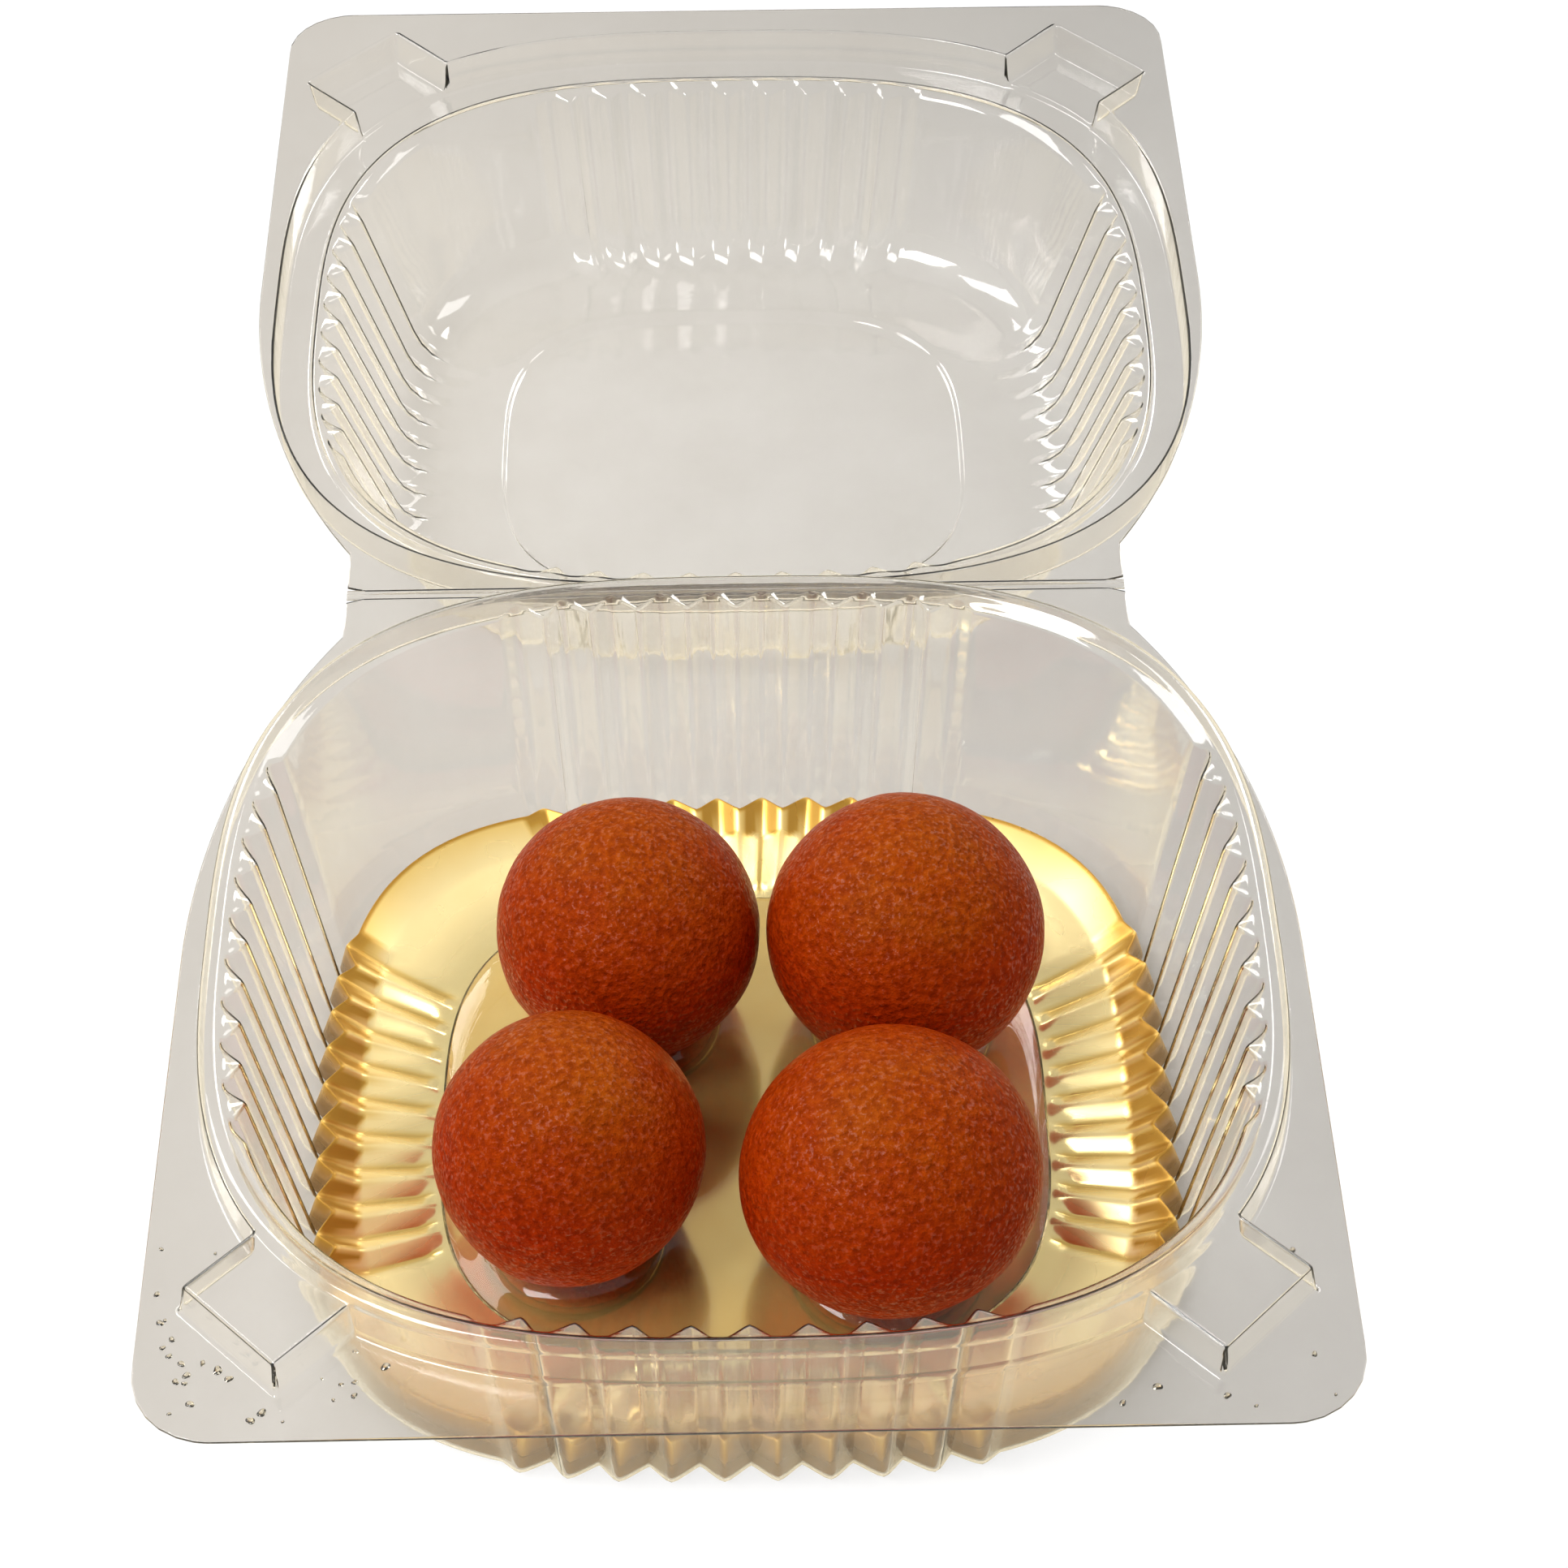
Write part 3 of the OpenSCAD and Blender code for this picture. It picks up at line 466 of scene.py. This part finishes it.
def gold_material():
    """Metallised foil: satin gold on the fluted border, part varnish, and bright metal on the floor. Its colour
    goes from pale gold to brown with the tray's painted shade and highlights, and is a little uneven in slow waves."""
    material, node = new_material("gold_foil")
    height, normal = rippled(node, 70.0, 260.0, 0.06, 0.12, 0.0006)
    place = node("SeparateXYZ", {0: node("TexCoord").outputs["Object"]})
    on_floor = span(node, place.outputs["Z"], 0.0020, 0.0032, 1.0, 0.0)
    satin = span(node, height, 0.3, 0.7, 0.25, 0.31)
    rough = node("Math", {0: on_floor, 1: -0.12, 2: satin}, operation="MULTIPLY_ADD")
    metal_share = node("Math", {0: on_floor, 1: 0.30, 2: 0.54}, operation="MULTIPLY_ADD")
    # The tone attribute holds the tray's painted shade and highlights: pale gold where painted bright, brown where
    # painted shade.
    tone_with_painted_light = node("Attribute", attribute_name="tone_with_painted_light")
    uneven = node("Math", {0: height, 1: 0.24, 2: -0.12}, operation="MULTIPLY_ADD")
    shade = node("Math", {0: tone_with_painted_light.outputs["Fac"], 1: uneven.outputs[0]}, operation="ADD")
    colour = ramp(
        node,
        shade.outputs[0],
        (
            (0.0, (0.96, 0.79, 0.38)),
            (0.3, (0.82, 0.58, 0.18)),
            (0.65, (0.52, 0.29, 0.04)),
            (1.0, (0.34, 0.16, 0.012)),
        ),
    )
    metal = node(
        "BsdfPrincipled",
        {
            "Base Color": colour,
            "Metallic": metal_share.outputs[0],
            "Roughness": rough.outputs[0],
            "Normal": normal,
        },
    )
    node("OutputMaterial", {"Surface": metal.outputs[0]})
    return material


tray = formed_sheet("gold_tray_formed", tray_rows, TRAY_T, gold_material())
# The tray's painted shade and highlights go on its points as an attribute.
tray.data.attributes.new("tone_with_painted_light", "FLOAT", "POINT").data.foreach_set("value", np.append(0.0, tray_painted_shade))
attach(tray, "tray")
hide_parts("gold_tray")

# ---------------------------------------------------------------- sweets
# Four balls of fried milk dough, soaked in syrup: nearly round, a little lumpy, with a red-brown
# crust full of fine grains and pores, painted light making it more orange on top, and scattered wet glints.
SWEET_SIZE, SWEET_SEAT = 39.2, 0.3
SWEETS = {
    "front_left": dict(place=(-23.812, -21.472), width=0.95, height=0.98, seed=3),
    "front_right": dict(place=(19.314, -25.944), width=1.055, height=0.955, seed=11),
    "back_left": dict(place=(-16.021, 18.612), width=0.965, height=0.965, seed=23),
    "back_right": dict(place=(23.033, 16.565), width=1.015, height=1.0, seed=37),
}
BALL_ROWS, BALL_COLUMNS = 120, 240
LUMP, LUMP_WAVES, LUMP_COUNT = 0.022, 2.2, 24
DIMPLE, DIMPLE_WAVES, DIMPLE_COUNT = 0.006, 9.0, 40
FOOT_LUMPS, FOOT_RISE = 0.35, 0.5


def lumps(direction, seed, waves, count):
    """Lumpiness from 0 to 1 over a ball: the mean of many sines of the direction times a random vector each."""
    draw = np.random.default_rng(seed)
    axes = draw.normal(size=(count, 3)) * waves
    phases = draw.uniform(0, 2 * math.pi, count)
    total = np.sin(direction @ axes.T + phases).sum(-1) / math.sqrt(count / 2)
    return np.clip(0.5 + 0.25 * total, 0.0, 1.0)


def fried_material():
    """Fried crust with painted light and shade by height: brighter red at the foot as painted bounce light from the
    gold, darkest red at mid height as painted shade, and more orange towards the top as painted sheen; with slow
    mottling and fine darker and lighter grains, matt but for scattered wet grains that shine, over a pebbly relief
    of grains and small pits."""
    material, node = new_material("fried_crust")
    place = node("TexCoord").outputs["Object"]
    slow = node("TexNoise", {"Vector": place, "Scale": 70.0, "Detail": 3.0, "Roughness": 0.6})
    grain = node("TexNoise", {"Vector": place, "Scale": 850.0, "Detail": 3.0, "Roughness": 0.65})
    pits = node("TexVoronoi", {"Vector": place, "Scale": 1100.0, "Randomness": 1.0})
    wet = node("TexNoise", {"Vector": place, "Scale": 1700.0, "Detail": 1.0})
    # Painted light and shade by height: bounce light at the foot, shade at mid height, sheen towards the top.
    risen = span(node, node("SeparateXYZ", {0: place}).outputs["Z"], 0.002, 0.041, 0.0, 1.0)
    uneven = node("Math", {0: slow.outputs["Fac"], 1: 0.4, 2: -0.2}, operation="MULTIPLY_ADD")
    tone_with_painted_light = node("Math", {0: risen, 1: uneven.outputs[0]}, operation="ADD")
    base = ramp(
        node,
        tone_with_painted_light.outputs[0],
        (
            (0.20, (0.380, 0.0320, 0.0006)),
            (0.50, (0.290, 0.0165, 0.0004)),
            (0.84, (0.262, 0.0285, 0.0006)),
            (1.00, (0.268, 0.0440, 0.0012)),
        ),
    )
    grains = ramp(
        node, grain.outputs["Fac"], ((0.36, (0.76, 0.68, 0.62)), (0.5, (1.0, 1.0, 1.0)), (0.66, (1.24, 1.45, 1.8)))
    )
    coloured = node("Mix", {0: 1.0, 6: base, 7: grains}, data_type="RGBA", blend_type="MULTIPLY")
    relief = node("Math", {0: pits.outputs["Distance"], 1: 0.4, 2: grain.outputs["Fac"]}, operation="MULTIPLY_ADD")
    bump = node("Bump", {"Height": relief.outputs[0], "Strength": 0.8, "Distance": 0.0006})
    crust = node(
        "BsdfPrincipled",
        {
            "Base Color": coloured.outputs[2],
            "Roughness": 0.34,
            "Specular IOR Level": span(node, wet.outputs["Fac"], 0.56, 0.66, 0.02, 0.24),
            "Normal": bump.outputs["Normal"],
        },
    )
    node("OutputMaterial", {"Surface": crust.outputs[0]})
    return material


crust = fried_material()
down_turn = np.linspace(-math.pi / 2, math.pi / 2, BALL_ROWS + 1)[1:-1, None]
round_turn = np.linspace(0, 2 * math.pi, BALL_COLUMNS, endpoint=False)[None, :]
ball_x, ball_y = np.cos(down_turn) * np.cos(round_turn), np.cos(down_turn) * np.sin(round_turn)
ball_rings = np.stack(np.broadcast_arrays(ball_x, ball_y, np.sin(down_turn)), -1)
ball_way = np.concatenate([[[0, 0, -1.0]], ball_rings.reshape(-1, 3), [[0, 0, 1.0]]])
cols = np.arange(BALL_COLUMNS)
next_cols = (cols + 1) % BALL_COLUMNS
starts = 1 + np.arange(BALL_ROWS - 2)[:, None] * BALL_COLUMNS
ball_quads = np.stack(
    [starts + cols, starts + next_cols, starts + BALL_COLUMNS + next_cols, starts + BALL_COLUMNS + cols], -1
).reshape(-1, 4)
last_row = 1 + (BALL_ROWS - 2) * BALL_COLUMNS
ball_faces = (
    np.stack([np.zeros(BALL_COLUMNS, int), 1 + next_cols, 1 + cols], 1).tolist()
    + ball_quads.tolist()
    + np.stack([last_row + cols, last_row + next_cols, np.full(BALL_COLUMNS, len(ball_way) - 1)], 1).tolist()
)
for name, sweet in SWEETS.items():
    half = SWEET_SIZE / 2 * np.array([sweet["width"], sweet["width"], sweet["height"]])
    slack = LUMP * lumps(ball_way, sweet["seed"], LUMP_WAVES, LUMP_COUNT)
    slack += DIMPLE * lumps(ball_way, sweet["seed"] + 1, DIMPLE_WAVES, DIMPLE_COUNT)
    slack *= mix(FOOT_LUMPS, 1.0, smooth((ball_way[:, 2] + 1.0) / FOOT_RISE))
    middle_z = TRAY_FLOOR + SWEET_SEAT + half[2]
    ball_points = ball_way * half * (1 - slack)[:, None] + [*sweet["place"], middle_z]
    ball = mesh_piece("sweet_" + name, ball_points, ball_faces, crust)
    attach(ball, "sweet_" + name)
    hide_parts("gulab_jamun_" + name)

# ---------------------------------------------------------------- syrup
# Clear sugar syrup on the tray's floor. It thins out at the tray's slope and climbs a little up
# each sweet, so its surface rises in a narrow ring round every foot.
SYRUP_DEPTH, SYRUP_CLIMB, SYRUP_REACH, SYRUP_CELLS = 1.3, 2.3, 1.6, 200
SHORE_GAP, SHORE_POWER, UNDER_GAP = 0.3, 14, 0.02
side = np.linspace(-1.0, 1.0, SYRUP_CELLS + 1)
u, v = np.meshgrid(side, side)
spread = np.maximum(np.abs(u), np.abs(v))
turn = np.arctan2(v, u)
shore = oval(turn, FLOOR[0] - SHORE_GAP, FLOOR[1] - SHORE_GAP, FOOT_SQUARENESS)
pool_x, pool_y = spread * shore * np.cos(turn), spread * shore * np.sin(turn)
climb = np.zeros_like(pool_x)
for sweet in SWEETS.values():
    half_w, half_h = SWEET_SIZE / 2 * sweet["width"], SWEET_SIZE / 2 * sweet["height"]
    drop = 1 - (SYRUP_DEPTH + SYRUP_CLIMB - SWEET_SEAT) / half_h
    foot_r = half_w * math.sqrt(1 - drop * drop)
    gap = np.hypot(pool_x - sweet["place"][0], pool_y - sweet["place"][1]) - foot_r
    climb = np.maximum(climb, SYRUP_CLIMB * np.exp(-np.maximum(gap, 0.0) / SYRUP_REACH))
on_edge = np.isclose(spread, 1.0)
pool_z = np.where(on_edge, TRAY_FLOOR + UNDER_GAP, TRAY_FLOOR + (SYRUP_DEPTH + climb) * (1 - spread**SHORE_POWER))
pool_top = np.stack([pool_x, pool_y, pool_z], -1).reshape(-1, 3)
pool_low = pool_top.copy()
pool_low[:, 2] = TRAY_FLOOR + UNDER_GAP
n_side = SYRUP_CELLS + 1
i, j = np.meshgrid(np.arange(SYRUP_CELLS), np.arange(SYRUP_CELLS), indexing="ij")
cell = i * n_side + j
pool_faces = np.stack([cell, cell + 1, cell + n_side + 1, cell + n_side], -1).reshape(-1, 4)
on_shore = on_edge.reshape(-1).nonzero()[0]
low_index = np.arange(n_side * n_side) + n_side * n_side
low_index[on_shore] = on_shore
low_faces = low_index[pool_faces[:, ::-1]]


def syrup_material():
    """Syrup: clear pale amber of a thick sugar solution's index, with a slightly uneven colour."""
    material, node = new_material("sugar_syrup")
    height, normal = rippled(node, 120.0, 500.0, 0.1, 0.05, 0.0004)
    colour = ramp(node, height, ((0.3, (0.93, 0.84, 0.66)), (0.7, (0.96, 0.90, 0.76))))
    liquid = node(
        "BsdfPrincipled",
        {
            "Base Color": colour,
            "Roughness": 0.02,
            "IOR": 1.45,
            "Transmission Weight": 1.0,
            "Normal": normal,
        },
    )
    see_through(node, liquid, (0.97, 0.93, 0.85))
    return material


used = np.unique(np.concatenate([pool_faces.ravel(), low_faces.ravel()]))
renumber = np.zeros(2 * n_side * n_side, int)
renumber[used] = np.arange(len(used))
pool_points = np.concatenate([pool_top, pool_low])[used]
sugar_syrup = syrup_material()
syrup_faces = renumber[np.concatenate([pool_faces, low_faces])].tolist()
syrup = mesh_piece("syrup", pool_points, syrup_faces, sugar_syrup)
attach(syrup, "tray")
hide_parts("syrup_pool")

# ---------------------------------------------------------------- drops
# Small flat drops that fell on the front corners of the flange while the box was filled. Each is a
# low cap with a slightly uneven outline, lower than the gap that the closed lid leaves.
DROP_COUNT, DROP_SEED, DROP_TRIES, DROP_LEFT = 36, 14, 400, 0.65
DROP_X, DROP_Y, DROP_SHARES = (44.0, 75.0), (-77.0, -48.0), (0.3, 1.0)
DROP_SIZE, DROP_HEIGHT, DROP_SINK, DROP_AROUND = 0.62, 0.15, 0.1, 20
COLLAR_CLEAR, LATCH_CLEAR, EDGE_CLEAR = 2.0, 1.8, 1.5
OVAL_SHARE, THREE_SHARE = 0.16, 0.08
cap_reach, cap_rise = np.array([1.0, 0.92, 0.76, 0.50, 0.25]), np.array([-DROP_SINK, 0.14, 0.48, 0.82, 0.96])
draw = np.random.default_rng(DROP_SEED)
drop_x = draw.uniform(*DROP_X, DROP_TRIES) * np.where(draw.uniform(size=DROP_TRIES) < DROP_LEFT, -1.0, 1.0)
drop_y = draw.uniform(*DROP_Y, DROP_TRIES)
drop_width = DROP_SIZE * draw.uniform(*DROP_SHARES, DROP_TRIES)
# Drops are kept where the flange is flat: off the collar, off the latch squares and inside the edge
corner_x, corner_y = FLANGE_SIDE - FLANGE_CURVE, FLANGE_FRONT - FLANGE_CURVE
along = (np.abs(drop_x) - drop_y) / math.sqrt(2)
aside = np.abs(np.abs(drop_x) + drop_y) / math.sqrt(2)
latch_end = oval(math.pi / 4, *COLLAR, MOUTH_SQUARENESS) + LATCH_LENGTH
collar_there = oval(np.arctan2(drop_y, drop_x), *COLLAR, MOUTH_SQUARENESS)
off_collar = np.hypot(drop_x, drop_y) > collar_there + COLLAR_CLEAR
off_latch = (aside > LATCH_HALF + LATCH_CLEAR) | (along > latch_end + LATCH_CLEAR)
past_corner = np.hypot(np.maximum(np.abs(drop_x) - corner_x, 0), np.maximum(-drop_y - corner_y, 0))
kept = (off_collar & off_latch & (past_corner < FLANGE_CURVE - EDGE_CLEAR)).nonzero()[0][:DROP_COUNT]
around = np.linspace(0, 2 * math.pi, DROP_AROUND, endpoint=False)
wobble = draw.uniform(0, 2 * math.pi, (len(kept), 2, 1))
outline = 1 + OVAL_SHARE * np.cos(2 * around + wobble[:, 0]) + THREE_SHARE * np.cos(3 * around + wobble[:, 1])
middles = np.stack([drop_x[kept], drop_y[kept]], -1)
edge_out = (drop_width[kept, None] * outline)[..., None] * np.stack([np.cos(around), np.sin(around)], -1)
cap_xy = middles[:, None, None] + cap_reach[:, None, None] * edge_out[:, None]
tall = DROP_HEIGHT * drop_width[kept] / DROP_SIZE
cap_z = FLANGE_Z + np.broadcast_to(tall[:, None, None] * cap_rise[:, None], cap_xy.shape[:3])
rings_there = np.concatenate([cap_xy, cap_z[..., None]], -1).reshape(len(kept), -1, 3)
low_poles, high_poles = (np.column_stack([middles, FLANGE_Z + k * tall])[:, None] for k in (-DROP_SINK, 1.0))
drop_points = np.concatenate([rings_there, low_poles, high_poles], 1)
rim = np.arange(DROP_AROUND)
rim_next = (rim + 1) % DROP_AROUND
start = np.arange(len(cap_reach) - 1)[:, None] * DROP_AROUND
cap_quads = np.stack([start + rim, start + rim_next, start + DROP_AROUND + rim_next, start + DROP_AROUND + rim], -1)
last, low_pole = (len(cap_reach) - 1) * DROP_AROUND, len(cap_reach) * DROP_AROUND
low_fan = np.stack([np.full(DROP_AROUND, low_pole), rim_next, rim], 1)
high_fan = np.stack([last + rim, last + rim_next, np.full(DROP_AROUND, low_pole + 1)], 1)
first = np.arange(len(kept))[:, None, None] * drop_points.shape[1]
drop_faces = (first + cap_quads.reshape(-1, 4)).reshape(-1, 4).tolist()
drop_faces += (first + np.concatenate([low_fan, high_fan])).reshape(-1, 3).tolist()
drops = mesh_piece("syrup_drops", drop_points.reshape(-1, 3), drop_faces, sugar_syrup)
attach(drops, "base")

# ---------------------------------------------------------------- floor and light
# A plain white table that keeps the box's soft shadow, and a studio's large soft lamps.
TABLE_HALF, TABLE_Z = 3.0, -0.0001
SKY_LIGHT, SKY_SEEN = 0.58, 1.0


def table_material():
    """Table: matt, with a share of its own light that is white where it's seen directly, a golden glow where the
    foil mirrors it, which is painted reflection that warms the gold, and warm grey where it's seen through the clear
    sheet, with painted shade making that grey darker to the right."""
    material, node = new_material("pale_table")
    matt = node("BsdfDiffuse", {"Color": (0.80, 0.80, 0.80, 1.0)})
    white = node("Emission", {"Color": (1.0, 1.0, 1.0, 1.0), "Strength": 1.0})
    place = node("SeparateXYZ", {0: node("TexCoord").outputs["Object"]})
    # Painted shade: the grey seen through the sheet darkens to the right.
    painted_shade_fall = span(node, place.outputs["X"], -0.07, 0.09, 0.42, 0.19)
    grey = node("Emission", {"Color": (1.0, 0.87, 0.68, 1.0), "Strength": painted_shade_fall})
    path = node("LightPath")
    seen = node("Math", {0: path.outputs["Is Camera Ray"], 1: path.outputs["Is Glossy Ray"]}, operation="MAXIMUM")
    # Painted reflection: a golden glow that only mirrored rays see.
    painted_reflection_glow = node("Emission", {"Color": (1.0, 0.84, 0.50, 1.0), "Strength": 0.88})
    mirrored = node("Math", {0: path.outputs["Glossy Depth"], 1: 0.0}, operation="ADD", use_clamp=True)
    indirect = node("MixShader", {0: mirrored.outputs[0], 1: grey.outputs[0], 2: painted_reflection_glow.outputs[0]})
    own = node("MixShader", {0: path.outputs["Is Camera Ray"], 1: indirect.outputs[0], 2: white.outputs[0]})
    share = node("Math", {0: seen.outputs[0], 1: 0.66}, operation="MULTIPLY")
    mixed = node("MixShader", {0: share.outputs[0], 1: matt.outputs[0], 2: own.outputs[0]})
    node("OutputMaterial", {"Surface": mixed.outputs[0]})
    return material


table_mesh = bpy.data.meshes.new("table")
table_mesh.from_pydata(
    [(x * TABLE_HALF, y * TABLE_HALF, TABLE_Z) for x, y in ((-1, -1), (1, -1), (1, 1), (-1, 1))], [], [(0, 1, 2, 3)]
)
table_mesh.materials.append(table_material())
table = bpy.data.objects.new("table", table_mesh)
bpy.context.scene.collection.objects.link(table)


def soft_lamp(name, place, aim, size, power):
    """Rectangular white lamp at a place, turned to face its aim."""
    data = bpy.data.lights.new(name, "AREA")
    data.shape, data.size, data.size_y, data.energy = "RECTANGLE", *size, power
    lamp = bpy.data.objects.new(name, data)
    back = np.array(place, float) - np.array(aim, float)
    back /= np.linalg.norm(back)
    side_way = np.cross([0, 0, 1.0], back)
    side_way /= np.linalg.norm(side_way)
    turned = np.eye(4)
    turned[:3, 0], turned[:3, 1], turned[:3, 2], turned[:3, 3] = side_way, np.cross(back, side_way), back, place
    lamp.matrix_world = turned.T.tolist()
    bpy.context.scene.collection.objects.link(lamp)


soft_lamp("key", (-0.50, -0.32, 0.95), (0, 0.0, 0.02), (0.45, 0.45), 7.8)
soft_lamp("window_left", (-0.75, 0.35, 0.75), (0, 0.07, 0.0), (0.3, 0.7), 3.9)
soft_lamp("window_right", (0.85, 0.45, 0.6), (0, 0.07, 0.0), (0.25, 0.5), 1.4)
soft_lamp("back_right", (0.55, 0.95, 0.72), (-0.05, 0.0, 0.0), (0.3, 0.3), 2.8)
soft_lamp("back_left", (-0.55, 0.95, 0.72), (0.05, 0.0, 0.0), (0.3, 0.3), 2.1)

world = bpy.data.worlds.new("studio")
world.use_nodes = True
sky = world.node_tree
sky.nodes.clear()
path = add_node(sky, "LightPath")
seen = path.outputs["Is Camera Ray"]
strength = add_node(sky, "MapRange", {"Value": seen, "To Min": SKY_LIGHT, "To Max": SKY_SEEN})
light = add_node(sky, "Background", {"Color": (1.0, 0.98, 0.95, 1.0), "Strength": strength.outputs[0]})
add_node(sky, "OutputWorld", {"Surface": light.outputs[0]})
bpy.context.scene.world = world
bpy.context.scene.view_settings.view_transform = "Standard"
